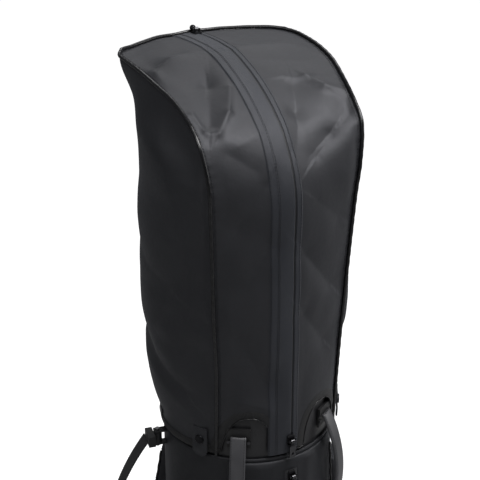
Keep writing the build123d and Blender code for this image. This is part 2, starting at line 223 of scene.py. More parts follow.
def clothFinish(name, dark, light, rough, sheen, thread, weave, crinkle, useUv=True):
    material, tree, shader = newMaterial(name)
    where = tree.nodes.new("ShaderNodeTexCoord")
    if useUv:
        uv = node(tree, "ShaderNodeUVMap", uv_map="clothUv")
        flat = uv.outputs["UV"]
    else:
        flat = where.outputs["Object"]
    broad = node(tree, "ShaderNodeTexNoise", Scale=clothLook["broad"], Detail=4.0, Roughness=0.55)
    fine = node(tree, "ShaderNodeTexNoise", Scale=clothLook["fine"], Detail=5.0, Roughness=0.6)
    fleck = node(tree, "ShaderNodeTexNoise", Scale=clothLook["fleck"], Detail=2.0)
    for tex in (broad, fine, fleck):
        tree.links.new(where.outputs["Object"], tex.inputs["Vector"])
    tree.links.new(mixedColour(tree, broad.outputs["Fac"], dark, light), shader.inputs["Base Color"])
    spread = node(tree, "ShaderNodeMapRange")
    spread.inputs["To Min"].default_value = rough - clothLook["smoother"]
    spread.inputs["To Max"].default_value = rough + clothLook["rougher"]
    tree.links.new(fine.outputs["Fac"], spread.inputs["Value"])
    tree.links.new(spread.outputs["Result"], shader.inputs["Roughness"])
    threads = weaveHeight(tree, flat, thread, thread, 0.3)
    bumpChain(tree, shader, [(fine.outputs["Fac"], 0.35, crinkle),
                             (fleck.outputs["Fac"], 0.25, clothLook["fleckDepth"]),
                             (threads, weave, clothLook["threadDepth"])])
    shader.inputs["Sheen Weight"].default_value = sheen
    shader.inputs["Sheen Roughness"].default_value = clothLook["sheenRoughness"]
    shader.inputs["Sheen Tint"].default_value = clothLook["sheenTint"]
    shader.inputs["Specular Tint"].default_value = clothLook["specularTint"]
    return material


def ribbedFinish(name, dark, light, ribs, axis, rough=0.72, sheen=0.25, depth=0.0003):
    # webbing and binding tape: raised cross ribs with a fine twill
    material, tree, shader = newMaterial(name)
    where = tree.nodes.new("ShaderNodeTexCoord")
    uv = node(tree, "ShaderNodeUVMap", uv_map="clothUv")
    wave = node(tree, "ShaderNodeTexWave", Scale=waveLength / ribs, Distortion=0.4)
    wave.bands_direction = axis
    tree.links.new(uv.outputs["UV"], wave.inputs["Vector"])
    twill = node(tree, "ShaderNodeTexWave", Scale=waveLength / twillPitch, Distortion=0.5)
    twill.bands_direction = "DIAGONAL"
    tree.links.new(uv.outputs["UV"], twill.inputs["Vector"])
    fuzz = node(tree, "ShaderNodeTexNoise", Scale=420.0, Detail=4.0)
    tree.links.new(where.outputs["Object"], fuzz.inputs["Vector"])
    tree.links.new(mixedColour(tree, wave.outputs["Fac"], dark, light, 0.1, 0.9), shader.inputs["Base Color"])
    bumpChain(tree, shader, [(wave.outputs["Fac"], 0.7, depth), (twill.outputs["Fac"], 0.4, 0.00012),
                             (fuzz.outputs["Fac"], 0.3, 0.0002)])
    shader.inputs["Roughness"].default_value = rough
    shader.inputs["Sheen Weight"].default_value = sheen
    return material


def hardFinish(name, dark, light, rough, metal=0.0, grain=700.0, depth=0.00012, wear=None):
    # moulded plastic, rubber and plated metal, with lighter rubbed edges
    material, tree, shader = newMaterial(name)
    where = tree.nodes.new("ShaderNodeTexCoord")
    broad = node(tree, "ShaderNodeTexNoise", Scale=35.0, Detail=5.0)
    fine = node(tree, "ShaderNodeTexNoise", Scale=grain, Detail=3.0)
    for tex in (broad, fine):
        tree.links.new(where.outputs["Object"], tex.inputs["Vector"])
    colour = mixedColour(tree, broad.outputs["Fac"], dark, light)
    if wear:
        edge = tree.nodes.new("ShaderNodeNewGeometry")
        rubbed = mixedColour(tree, edge.outputs["Pointiness"], (0, 0, 0), (1, 1, 1), 0.52, 0.6)
        blend = node(tree, "ShaderNodeMix", data_type="RGBA")
        tree.links.new(rubbed, blend.inputs["Factor"])
        tree.links.new(colour, blend.inputs["A"])
        blend.inputs["B"].default_value = (*wear, 1)
        colour = blend.outputs["Result"]
    tree.links.new(colour, shader.inputs["Base Color"])
    spread = node(tree, "ShaderNodeMapRange")
    spread.inputs["To Min"].default_value = max(0.05, rough - 0.08)
    spread.inputs["To Max"].default_value = rough + 0.1
    tree.links.new(broad.outputs["Fac"], spread.inputs["Value"])
    tree.links.new(spread.outputs["Result"], shader.inputs["Roughness"])
    shader.inputs["Metallic"].default_value = metal
    bumpChain(tree, shader, [(fine.outputs["Fac"], 0.3, depth)])
    return material


coatedCloth = clothFinish("coatedCloth", (0.0110, 0.0113, 0.0130), (0.0155, 0.0159, 0.0178), 0.55, 0.05, 0.0011,
                          0.12, 0.0006)
wovenCloth = clothFinish("wovenCloth", (0.0105, 0.0118, 0.0152), (0.0190, 0.0208, 0.0255), 0.52, 0.10, 0.0013,
                         0.8, 0.0004)
# a darker copy of the coated cloth: painted shade for the bag below the hood, where less light falls
shadedLowerCloth = clothFinish("shadedLowerCloth", (0.0050, 0.0052, 0.0062), (0.0078, 0.0081, 0.0092), 0.60, 0.04, 0.0011,
                          0.12, 0.0006)
padCloth = clothFinish("padCloth", (0.0060, 0.0062, 0.0072), (0.0090, 0.0093, 0.0104), 0.6, 0.05, 0.0011,
                       0.3, 0.0006, useUv=False)
liningCloth = clothFinish("liningCloth", (0.05, 0.05, 0.053), (0.075, 0.075, 0.08), 0.85, 0.5, 0.0016, 0.4,
                          0.0004, useUv=False)
webbing = ribbedFinish("webbing", (0.003, 0.003, 0.0035), (0.0085, 0.0085, 0.0095), 0.0016, "Y", sheen=0.08)
bindingTape = ribbedFinish("bindingTape", (0.003, 0.003, 0.0035), (0.0072, 0.0072, 0.0082), 0.0012, "X",
                            sheen=0.05)
zipTape = ribbedFinish("zipTape", (0.008, 0.008, 0.01), (0.02, 0.021, 0.024), 0.001, "DIAGONAL")
pipingCord = hardFinish("pipingCord", (0.0045, 0.0045, 0.005), (0.0085, 0.0085, 0.0095), 0.24, grain=1500.0)
threadMat = hardFinish("sewingThread", (0.003, 0.003, 0.005), (0.007, 0.007, 0.011), 0.6, grain=2500.0)
coilPlastic = hardFinish("coilPlastic", (0.0025, 0.0025, 0.003), (0.005, 0.005, 0.006), 0.6)
mouldedTrim = hardFinish("mouldedTrim", (0.0035, 0.0035, 0.004), (0.0062, 0.0062, 0.0068), 0.5, depth=0.0002,
                         wear=(0.010, 0.010, 0.0105))
# a lighter, glossier copy of the moulded trim for the collar: painted light for the lit patch of collar under the
# arches
litCollarTrim = hardFinish("litCollarTrim", (0.014, 0.014, 0.0155), (0.019, 0.019, 0.0205), 0.33, depth=0.0001)
softRubber = hardFinish("softRubber", (0.012, 0.012, 0.012), (0.02, 0.02, 0.02), 0.8, grain=400.0, depth=0.0003)
gunmetal = hardFinish("gunmetal", (0.016, 0.016, 0.018), (0.034, 0.034, 0.037), 0.3, metal=1.0, grain=1800.0,
                      depth=0.00004, wear=(0.09, 0.09, 0.095))
zincSteel = hardFinish("zincSteel", (0.07, 0.07, 0.074), (0.12, 0.12, 0.125), 0.36, metal=1.0, grain=900.0,
                       depth=0.00005, wear=(0.25, 0.25, 0.26))
gripRubber = hardFinish("gripRubber", (0.050, 0.050, 0.054), (0.066, 0.066, 0.070), 0.36, grain=900.0,
                        depth=0.00006)
# the coated cloth slot takes the darker copy, with its painted shade
slotFinish = {
    "coated_cloth": shadedLowerCloth, "woven_cloth": wovenCloth, "lining": liningCloth, "webbing": webbing,
    "binding": bindingTape, "piping": pipingCord, "zip_tape": zipTape, "zip_coil": coilPlastic,
    "moulded_trim": mouldedTrim, "rubber": softRubber, "dark_metal": gunmetal, "steel": zincSteel,
}
for part in frame["record"]["subparts"]:
    shown = bpy.data.objects.get(part["node"]) or frame["nodes"][part["node"]]
    finish = slotFinish[part["material_slot"]]
    if not shown.material_slots:
        shown.data.materials.append(finish)
    for matSlot in shown.material_slots:
        matSlot.material = finish
# the collar gets the lighter trim copy, with its painted light
frame["nodes"]["collar"].material_slots[0].material = litCollarTrim
print("finishes made")


# Geometry Nodes: stitches, teeth and round cords along a line
def lineTree(name, kind):
    tree = bpy.data.node_groups.new(name, "GeometryNodeTree")
    sockets = tree.interface
    sockets.new_socket("Geometry", in_out="INPUT", socket_type="NodeSocketGeometry")
    sizes = ("Spacing", "Length", "Width") if kind == "stitch" else ("Radius",)
    for size in sizes:
        sockets.new_socket(size, in_out="INPUT", socket_type="NodeSocketFloat")
    sockets.new_socket("Material", in_out="INPUT", socket_type="NodeSocketMaterial")
    sockets.new_socket("Geometry", in_out="OUTPUT", socket_type="NodeSocketGeometry")
    start = tree.nodes.new("NodeGroupInput")
    end = tree.nodes.new("NodeGroupOutput")
    link = tree.links.new
    if kind == "stitch":
        points = tree.nodes.new("GeometryNodeCurveToPoints")
        points.mode = "LENGTH"
        link(start.outputs["Geometry"], points.inputs["Curve"])
        link(start.outputs["Spacing"], points.inputs["Length"])
        bead = tree.nodes.new("GeometryNodeMeshUVSphere")
        bead.inputs["Segments"].default_value = 8
        bead.inputs["Rings"].default_value = 6
        bead.inputs["Radius"].default_value = 0.5
        size = tree.nodes.new("ShaderNodeCombineXYZ")
        link(start.outputs["Width"], size.inputs["X"])
        link(start.outputs["Width"], size.inputs["Y"])
        link(start.outputs["Length"], size.inputs["Z"])
        place = tree.nodes.new("GeometryNodeInstanceOnPoints")
        link(points.outputs["Points"], place.inputs["Points"])
        link(points.outputs["Rotation"], place.inputs["Rotation"])
        link(bead.outputs["Mesh"], place.inputs["Instance"])
        link(size.outputs["Vector"], place.inputs["Scale"])
        made = place.outputs["Instances"]
    else:
        ring = tree.nodes.new("GeometryNodeCurvePrimitiveCircle")
        ring.inputs["Resolution"].default_value = 12
        link(start.outputs["Radius"], ring.inputs["Radius"])
        sweep = tree.nodes.new("GeometryNodeCurveToMesh")
        link(start.outputs["Geometry"], sweep.inputs["Curve"])
        link(ring.outputs["Curve"], sweep.inputs["Profile Curve"])
        sweep.inputs["Fill Caps"].default_value = True
        made = sweep.outputs["Mesh"]
    real = tree.nodes.new("GeometryNodeRealizeInstances")
    link(made, real.inputs["Geometry"])
    shade = tree.nodes.new("GeometryNodeSetShadeSmooth")
    link(real.outputs["Geometry"], shade.inputs["Geometry"])
    setMat = tree.nodes.new("GeometryNodeSetMaterial")
    link(shade.outputs["Geometry"], setMat.inputs["Geometry"])
    link(start.outputs["Material"], setMat.inputs["Material"])
    link(setMat.outputs["Geometry"], end.inputs["Geometry"])
    return tree


stitchTree = lineTree("stitchRun", "stitch")
cordTree = lineTree("cordRun", "cord")


def alongLines(name, lines, tree, material, body, slot, nodes=(), **sizes):
    # runs a tree along lines of points and keeps the result as one plain mesh
    curve = bpy.data.curves.new(name + "Line", "CURVE")
    curve.dimensions = "3D"
    for line in lines:
        closed = (Vector(line[0]) - Vector(line[-1])).length < 1e-6
        points = line[:-1] if closed else line
        spline = curve.splines.new("POLY")
        spline.points.add(len(points) - 1)
        for point, place in zip(spline.points, points):
            point.co = (*place, 1)
        spline.use_cyclic_u = closed
    guide = bpy.data.objects.new(name + "Line", curve)
    bpy.context.scene.collection.objects.link(guide)
    modifier = guide.modifiers.new("run", "NODES")
    modifier.node_group = tree
    ids = {item.name: item.identifier for item in tree.interface.items_tree if item.in_out == "INPUT"}
    for key, value in sizes.items():
        modifier[ids[key]] = value
    modifier[ids["Material"]] = material
    graph = bpy.context.evaluated_depsgraph_get()
    mesh = bpy.data.meshes.new_from_object(guide.evaluated_get(graph))
    bpy.data.objects.remove(guide)
    piece = bpy.data.objects.new(name, mesh)
    bpy.context.scene.collection.objects.link(piece)
    return settle(piece, body, material, slot, *nodes)


# the hood
hood = {
    "frontDepth": 0.120, "straight": 0.345, "bend": (0.131, 53.0), "slope": (0.268, 37.0), "crown": 0.600,
    "end": 0.711, "cloth": 0.0014, "columns": 66, "rows": 330, "wallColumns": 230, "wallRows": 150,
    "lastLength": 0.7095, "halfSlot": 0.0006, "archReach": 0.11, "seamShare": 0.68, "backShare": 0.32,
    "arch": {"angle": 26.3, "halfWidth": 0.036, "height": 0.058, "fit": 0.97, "flat": 2.5, "shoulder": 0.6},
}
wallShape = {
    "frontBlend": (47.0, 95.0), "backBlend": (125.0, 175.0), "backBulge": 0.008, "bulgeRise": (0.02, 0.35),
    "flare": 0.075, "seamHeight": 0.43, "seamEnd": 0.44,
}
creases = {
    "panelLump": 0.0035, "wallLump": 0.0042, "wallSlant": 0.0035, "pucker": 0.00022, "panelPuckers": 420,
    "wallPuckers": 190,
}
insidePoint = Vector((0, 0, 0.25))  # tells the hood's outer side from its inner one
# seam beside each length along the zip line: (length, (x, y, z))
seamKeys = [
    (0.0, (0.0885, -0.0805, 0.0)), (0.07, (0.0892, -0.0840, 0.07)), (0.14, (0.0908, -0.0870, 0.14)),
    (0.20, (0.0940, -0.0885, 0.20)), (0.296, (0.0980, -0.0930, 0.296)), (0.345, (0.1005, -0.0955, 0.345)),
    (0.3846, (0.1035, -0.0980, 0.384)), (0.4387, (0.1100, -0.0885, 0.431)), (0.4662, (0.1118, -0.0680, 0.452)),
    (0.5083, (0.1165, -0.0320, 0.4725)), (0.5504, (0.1235, 0.0050, 0.485)), (0.5925, (0.1270, 0.0450, 0.4925)),
    (0.6393, (0.1285, 0.0850, 0.4955)), (0.676, (0.1275, 0.1060, 0.4965)), (0.711, (0.1190, 0.1220, 0.4990)),
]
sideRadius = [(0.0, 0.1215), (0.02, 0.1230), (0.07, 0.1325), (0.105, 0.1370), (0.145, 0.1390), (0.18, 0.1420),
              (0.30, 0.1430), (0.35, 0.1410), (0.385, 0.1412), (0.42, 0.1430), (0.50, 0.1455)]
seamTop = 0.3846  # where the seam leaves the front and turns back


def zipPoint(s):
    bendR, bendA = hood["bend"][0], math.radians(hood["bend"][1])
    slopeR, slopeA = hood["slope"][0], math.radians(hood["slope"][1])
    y0 = -hood["frontDepth"] + bendR
    if s <= hood["straight"]:
        return -hood["frontDepth"], s
    s -= hood["straight"]
    if s <= bendR * bendA:
        a = s / bendR
        return y0 - bendR * math.cos(a), hood["straight"] + bendR * math.sin(a)
    s -= bendR * bendA
    cy = y0 + (slopeR - bendR) * math.cos(bendA)
    cz = hood["straight"] - (slopeR - bendR) * math.sin(bendA)
    if s <= slopeR * slopeA:
        a = bendA + s / slopeR
        return cy - slopeR * math.cos(a), cz + slopeR * math.sin(a)
    a = (s - slopeR * slopeA) / hood["crown"]
    return cy + hood["crown"] * math.sin(a), cz + slopeR - hood["crown"] * (1 - math.cos(a))


def panelBase(u, s):
    # the taut front-and-top panel: u from -1 at the left seam to 1 at the right one
    y, z = zipPoint(s)
    sx, sy, sz = fromKeys(seamKeys, s)
    a = abs(u)
    return Vector((sx * u, y + (sy - y) * a * a, z + (sz - z) * a * a))


def archRise(x):
    # how high the hem is cut away over the handles, at a distance across the front
    arch = hood["arch"]
    spot = math.radians(arch["angle"])
    middle = hood["frontDepth"] * math.sin(spot)
    off = abs(abs(x) - middle) / (arch["halfWidth"] * math.cos(spot) * arch["fit"])
    if off >= 1:
        return 0.0
    return arch["height"] * max(0.0, 1 - off ** arch["flat"]) ** arch["shoulder"]


# folds pressed into the panel: x and length along the zip at both ends, width, height, and how much wider it is
# on the left of its run (below zero: on the right)
panelFolds = [
    (-0.111, 0.572, -0.084, 0.590, 0.016, 0.0050, -0.6), (-0.084, 0.590, -0.034, 0.598, 0.016, 0.0050, -0.6),
    (-0.031, 0.597, -0.060, 0.534, 0.013, -0.0044, -0.4), (-0.060, 0.534, -0.085, 0.468, 0.014, -0.0052, -0.6),
    (-0.102, 0.488, -0.095, 0.458, 0.005, 0.0022, 0.0), (-0.095, 0.458, -0.080, 0.455, 0.005, 0.0020, 0.0),
    (-0.080, 0.455, -0.057, 0.480, 0.005, 0.0030, 0.6), (-0.057, 0.480, -0.038, 0.520, 0.005, 0.0028, 0.6),
    (-0.060, 0.436, -0.034, 0.446, 0.013, 0.0018, 0.0), (-0.075, 0.428, -0.045, 0.402, 0.014, -0.0016, 0.0),
    (0.033, 0.606, 0.084, 0.594, 0.016, 0.0036, -0.4), (0.030, 0.566, 0.085, 0.556, 0.014, -0.0016, 0.0),
    (0.046, 0.523, 0.068, 0.521, 0.007, 0.0032, 1.0), (0.068, 0.521, 0.084, 0.497, 0.007, 0.0034, 1.0),
    (0.084, 0.497, 0.112, 0.484, 0.007, 0.0030, 1.0), (0.047, 0.515, 0.032, 0.470, 0.012, -0.0036, 0.5),
    (0.032, 0.470, 0.014, 0.420, 0.012, -0.0028, 0.5), (0.100, 0.455, 0.068, 0.432, 0.012, -0.0044, -0.8),
    (0.068, 0.432, 0.041, 0.408, 0.012, -0.0040, -0.8), (0.020, 0.282, 0.066, 0.226, 0.016, -0.0052, 0.5),
    (0.020, 0.198, 0.058, 0.148, 0.016, -0.0048, 0.5), (-0.030, 0.300, -0.060, 0.250, 0.020, -0.0034, 0.0),
    (-0.070, 0.180, -0.034, 0.110, 0.016, -0.0034, 0.0), (-0.036, 0.380, -0.070, 0.330, 0.016, -0.0034, 0.4),
    (-0.060, 0.082, -0.030, 0.072, 0.012, 0.0030, 0.0), (0.036, 0.350, 0.072, 0.320, 0.016, -0.0026, 0.4),
]


def foldHeight(x, s, folds):
    total = 0.0
    for x0, s0, x1, s1, width, height, lean in folds:
        dx, ds = x1 - x0, s1 - s0
        run = dx * dx + ds * ds
        t = min(1.0, max(0.0, ((x - x0) * dx + (s - s0) * ds) / run))
        gx, gs = x - x0 - t * dx, s - s0 - t * ds
        onLeft = dx * gs - ds * gx > 0
        wide = width * (1 + abs(lean) * (onLeft == (lean > 0)))
        gap = math.hypot(gx, gs) / wide
        if gap < 5:
            total += height * math.exp(-(gap ** 1.35))
    return total


def panelCrinkle(u, s):
    x = u * fromKeys(seamKeys, s)[0]
    inner = smooth(0.0, 0.25, abs(u)) * (1 - smooth(0.8, 1.0, abs(u)))
    lump = noise.fractal(Vector((x * 9, s * 7, 1.7)), 1.0, 2.1, 3)
    drape = creases["panelLump"] * lump * inner
    wander = 3 * noise.noise(Vector((0, s * 30, 4)))
    pucker = creases["pucker"] * math.sin(s * creases["panelPuckers"] + wander) * smooth(0.82, 1.0, abs(u))
    return drape + pucker + foldHeight(x, s, panelFolds) * (1 - smooth(0.9, 1.0, abs(u)))


def surfaceAt(base, crinkle, u, s, lift=0.0, du=0.004, ds=0.0015):
    here = base(u, s)
    across = base(u + du, s) - base(u - du, s)
    along = base(u, s + ds) - base(u, s - ds)
    normal = across.cross(along).normalized()
    if normal.dot(here - insidePoint) < 0:
        normal.negate()
    return here + normal * (crinkle(u, s) + lift)


def onPanel(u, s, lift=0.0):
    p = surfaceAt(panelBase, panelCrinkle, u, min(max(s, 0.0), hood["lastLength"]), lift)
    return Vector((p.x, p.y, p.z + hemZ))


def onPanelX(x, s, lift=0.0):
    return onPanel(x / fromKeys(seamKeys, s)[0], s, lift)


def wallTop(q):
    # the wall's upper edge: q from 0 where the seam turns back to 1 in the middle of the back
    share = hood["seamShare"]
    if q < share:
        return Vector(fromKeys(seamKeys, seamTop + (hood["end"] - seamTop) * q / share))
    return panelBase(1 - (q - share) / hood["backShare"], hood["end"])


def seamRadius(z):
    # distance from the bag's axis to the seam at a height
    for (_, a), (s, b) in zip(seamKeys, seamKeys[1:]):
        if z <= b[2] or s > wallShape["seamEnd"]:
            t = min(1.0, (z - a[2]) / (b[2] - a[2]))
            return math.hypot(a[0] + (b[0] - a[0]) * t, a[1] + (b[1] - a[1]) * t)


def wallBase(t, h):
    # the taut side and back: t from -1 at the left seam round the back to 1 at the right one
    q = min(1.0, max(0.0, 1 - abs(t)))
    top = wallTop(q)
    z = top.z * h
    angle = math.degrees(math.atan2(top.x, -top.y))
    blend = smooth(*wallShape["frontBlend"], angle)
    low = seamRadius(min(z, wallShape["seamHeight"])) * (1 - blend) + fromKeys(sideRadius, z) * blend
    low += wallShape["backBulge"] * smooth(*wallShape["backBlend"], angle) * smooth(*wallShape["bulgeRise"], z)
    flare = smooth(top.z - wallShape["flare"], top.z, z)
    r = low + (math.hypot(top.x, top.y) - low) * flare
    return polar(math.copysign(angle, t), r, z)


wallSpan = 0.28  # half the way round the wall, to give its folds' places in metres
wallFolds = [
    (-0.130, 0.180, -0.215, 0.085, 0.012, -0.0058, 0.8), (-0.150, 0.130, -0.230, 0.045, 0.013, 0.0030, 0.4),
    (-0.120, 0.300, -0.200, 0.240, 0.018, -0.0034, 0.4), (-0.240, 0.200, -0.215, 0.090, 0.014, -0.0030, 0.4),
    (-0.205, 0.420, -0.225, 0.300, 0.016, 0.0030, 0.4), (0.150, 0.180, 0.190, 0.120, 0.012, -0.0036, 0.4),
    (0.215, 0.260, 0.170, 0.200, 0.014, -0.0026, 0.4), (0.240, 0.140, 0.200, 0.075, 0.013, -0.0030, 0.4),
    (0.120, 0.420, 0.180, 0.370, 0.016, -0.0030, 0.4), (-0.050, 0.350, 0.040, 0.300, 0.022, -0.0030, 0.4),
    (0.050, 0.150, -0.040, 0.110, 0.018, -0.0026, 0.4), (0.070, 0.250, 0.100, 0.130, 0.016, 0.0020, 0.4),
    (-0.258, 0.380, -0.240, 0.270, 0.020, 0.0042, 0.4), (-0.225, 0.300, -0.190, 0.160, 0.018, -0.0040, 0.4),
]


def wallCrinkle(t, h):
    q = 1 - abs(t)
    z = h * wallTop(min(1.0, max(0.0, q))).z
    free = smooth(0.0, 0.12, q) * smooth(0.0, 0.08, h) * (1 - smooth(0.9, 1.0, h))
    side = 5.0 if t > 0 else 0.0  # the two halves crease differently
    lump = noise.fractal(Vector((t * 2.2 + side, z * 8, 7.3)), 1.0, 2.1, 3)
    slant = noise.noise(Vector((t * 4.5 - z * 9, z * 4 + t * 3, side)))
    pucker = creases["pucker"] * math.sin(h * creases["wallPuckers"]) * (1 - smooth(0.0, 0.05, q))
    drape = free * (creases["wallLump"] * lump + creases["wallSlant"] * slant)
    return drape + pucker + foldHeight(t * wallSpan, z, wallFolds) * free


def onWall(t, h, lift=0.0):
    p = surfaceAt(wallBase, wallCrinkle, t, h, lift, 0.004, 0.004)
    return Vector((p.x, p.y, p.z + hemZ))


def hoodPanel(name, side, nodes):
    # one half of the front and top, its lower edge cut away over the handle
    rows, uvRows = [], []
    reach = hood["archReach"]
    for i in range(hood["rows"] + 1):
        s = hood["end"] * i / hood["rows"]
        row, uvRow = [], []
        for j in range(hood["columns"] + 1):
            u = side * j / hood["columns"]
            x = u * fromKeys(seamKeys, s)[0]
            here = s
            if s < reach:
                rise = archRise(u * seamKeys[0][1][0])
                here = rise + s * (reach - rise) / reach
            p = onPanel(u, here)
            if j == 0:
                p.x = side * hood["halfSlot"]
            row.append(p)
            uvRow.append((x, here))
        if side < 0:
            row.reverse()
            uvRow.reverse()
        rows.append(row)
        uvRows.append(uvRow)
    piece = gridPiece(name, rows, uvRows)
    finishMesh(piece, hood["cloth"])
    return settle(piece, "hood", coatedCloth, "coated_cloth", *nodes)


def hoodWall():
    rows, uvRows = [], []
    for i in range(hood["wallRows"] + 1):
        h = i / hood["wallRows"]
        row = [onWall(-1 + 2 * j / hood["wallColumns"], h) for j in range(hood["wallColumns"] + 1)]
        uvRow = [(2 * wallSpan * j / hood["wallColumns"], p.z) for j, p in enumerate(row)]
        rows.append(row[::-1])
        uvRows.append(uvRow[::-1])
    piece = gridPiece("hoodWall", rows, uvRows)
    finishMesh(piece, hood["cloth"])
    return settle(piece, "hood", coatedCloth, "coated_cloth", "hood_side_and_back")


hoodPanel("hoodPanelLeft", -1, ("hood_front_left", "hood_zip_tape_left"))
hoodPanel("hoodPanelRight", 1, ("hood_front_right", "hood_zip_tape_right"))
hoodWall()
print("hood cloth made")

trim = {
    "step": 0.003, "lineStart": 0.004, "bindingWidth": 0.0115,
    "piping": {"radius": 0.0023, "lift": 0.0023, "step": 0.004, "backPoints": 40},
    "flap": {"from": -0.0310, "to": 0.0009, "lift": 0.0011, "steps": 40, "rims": (0.003, 0.0006)},
    "bed": {"from": 0.0, "to": 0.0040, "lift": 0.0002, "steps": 6, "rims": (0.0004, 0.0004)},
    "placket": {"from": 0.0023, "to": 0.0115, "lift": 0.0008, "steps": 20, "rims": (0.0006, 0.003)},
    "stitch": {"Spacing": 0.0042, "Length": 0.0029, "Width": 0.0008},
    "stitchRows": ((-0.0205, 0.0013), (-0.0295, 0.0013), (0.0095, 0.0011), (-0.0185, 0.0013), (0.0035, 0.0011)),
    "edgeRow": {"across": 0.955, "start": 0.01, "step": 0.0035, "lift": 0.0003, "points": 196},
    "teeth": {"places": (-0.0008, 0.0012), "start": 0.002, "lift": -0.0007, "points": 465},
    "tooth": {"Spacing": 0.0015, "Length": 0.0011, "Width": 0.0016},
}


def seamLine():
    # one line up the left seam, along the back edge of the top and down the right seam
    cord = trim["piping"]
    line = []
    count = int(hood["end"] / cord["step"])
    for i in range(count + 1):
        line.append(onPanel(-1, hood["end"] * i / count, cord["lift"]))
    for i in range(1, cord["backPoints"]):
        line.append(onPanel(-1 + 2 * i / cord["backPoints"], hood["end"], cord["lift"]))
    for i in range(count + 1):
        line.append(onPanel(1, hood["end"] * (1 - i / count), cord["lift"]))
    return line


def panelStrip(name, strip, material, slot, *nodes):
    # a flat strip sewn on the panel beside the zip, with folded-under edges
    end = hood["end"] - trim["step"]
    wide = strip["to"] - strip["from"]
    firstRim, lastRim = strip["rims"]
    rows, uvRows = [], []
    count = int(end / trim["step"])
    for i in range(count + 1):
        s = end * i / count
        row, uvRow = [], []
        for j in range(strip["steps"] + 1):
            t = j / strip["steps"]
            x = strip["from"] + wide * t
            rim = min(t * wide / firstRim, (1 - t) * wide / lastRim, 1.0)
            row.append(onPanelX(x, s, strip["lift"] * (1 - (1 - rim) ** 2)))
            uvRow.append((x, s))
        rows.append(row)
        uvRows.append(uvRow)
    piece = gridPiece(name, rows, uvRows)
    return settle(piece, "hood", material, slot, *nodes)


alongLines("hoodPiping", [seamLine()], cordTree, pipingCord, "hood", "piping", ("hood_piping",),
           Radius=trim["piping"]["radius"])
panelStrip("hoodFlap", trim["flap"], wovenCloth, "woven_cloth", "hood_storm_flap")
panelStrip("hoodZipBed", trim["bed"], coilPlastic, "zip_tape")
panelStrip("hoodPlacket", trim["placket"], wovenCloth, "woven_cloth")


def panelLine(x, lift):
    # points for one row of stitches beside the zip
    start, end = trim["lineStart"], hood["end"] - 2 * trim["step"]
    count = int((end - start) / trim["step"])
    return [onPanelX(x, start + (end - start) * i / count, lift) for i in range(count + 1)]


stitchLines = [panelLine(x, lift) for x, lift in trim["stitchRows"]]
edgeRow = trim["edgeRow"]
for side in (-1, 1):
    stitchLines.append([onPanel(side * edgeRow["across"], edgeRow["start"] + edgeRow["step"] * i, edgeRow["lift"])
                        for i in range(edgeRow["points"])])
alongLines("hoodStitches", stitchLines, stitchTree, threadMat, "hood", "piping", **trim["stitch"])
teeth = trim["teeth"]
toothLines = [[onPanelX(x, teeth["start"] + trim["tooth"]["Spacing"] * i, teeth["lift"])
               for i in range(teeth["points"])] for x in teeth["places"]]
alongLines("hoodZipTeeth", toothLines, stitchTree, coilPlastic, "hood", "zip_coil",
           ("hood_zip_coil_left", "hood_zip_coil_right"), **trim["tooth"])
print("hood trim made")


# hem: a folded binding along the wall, and one on each half of the front that follows its arch
# each lift is a pair: the share of the binding's width, and the height there
hem = {
    "reach": 0.985, "points": 200, "pitch": 0.0028, "cordRadius": 0.0007,
    "lifts": ((0.0, 0.0002), (0.05, 0.0012), (0.5, 0.0014), (0.95, 0.0012), (1.0, 0.0002)),
    "archLifts": ((0.0, 0.0002), (0.10, 0.0007), (0.5, 0.0010), (0.90, 0.0007), (1.0, 0.0001)),
    "archPoints": 220, "archFrom": {-1: 0.032, 1: 0.0125}, "archTo": 0.0850,
}
tab = {"angle": 58, "width": 0.022, "top": 0.038, "low": -0.006, "radius": 0.1255, "thick": 0.0022, "edge": 0.0004}


def hemBinding():
    rows, uvRows = [], []
    for share, lift in hem["lifts"]:
        row, uvRow = [], []
        for j in range(hem["points"] + 1):
            t = -hem["reach"] + 2 * hem["reach"] * j / hem["points"]
            top = wallTop(1 - abs(t)).z
            p = onWall(t, trim["bindingWidth"] * share / top, lift)
            row.append(p)
            uvRow.append((j * hem["pitch"], share * trim["bindingWidth"]))
        rows.append(row)
        uvRows.append(uvRow)
    piece = gridPiece("hoodHemBinding", rows, uvRows)
    settle(piece, "hood", bindingTape, "binding", "hood_hem_binding")


def archBinding(name, side, nodes):
    rows, uvRows = [], []
    count = hem["archPoints"]
    first, last = hem["archFrom"][side], hem["archTo"]
    edge = []
    for i in range(count + 1):
        x = side * (first + (last - first) * i / count)
        edge.append(Vector((x, archRise(x), 0)))
    for share, lift in hem["archLifts"]:
        row, uvRow, run = [], [], 0.0
        for i, p in enumerate(edge):
            way = (edge[min(i + 1, count)] - edge[max(i - 1, 0)]).normalized()
            out = Vector((-way.y, way.x, 0)) * side
            flat = p + out * share * trim["bindingWidth"]
            run += (p - edge[max(i - 1, 0)]).length
            row.append(onPanelX(flat.x, max(flat.y, 0.0), lift))
            uvRow.append((run, share * trim["bindingWidth"]))
        rows.append(row)
        uvRows.append(uvRow)
    piece = gridPiece(name, rows, uvRows)
    settle(piece, "hood", bindingTape, "binding", *nodes)
    return [onPanelX(p.x, p.y + 0.0008, 0.0010) for p in edge]


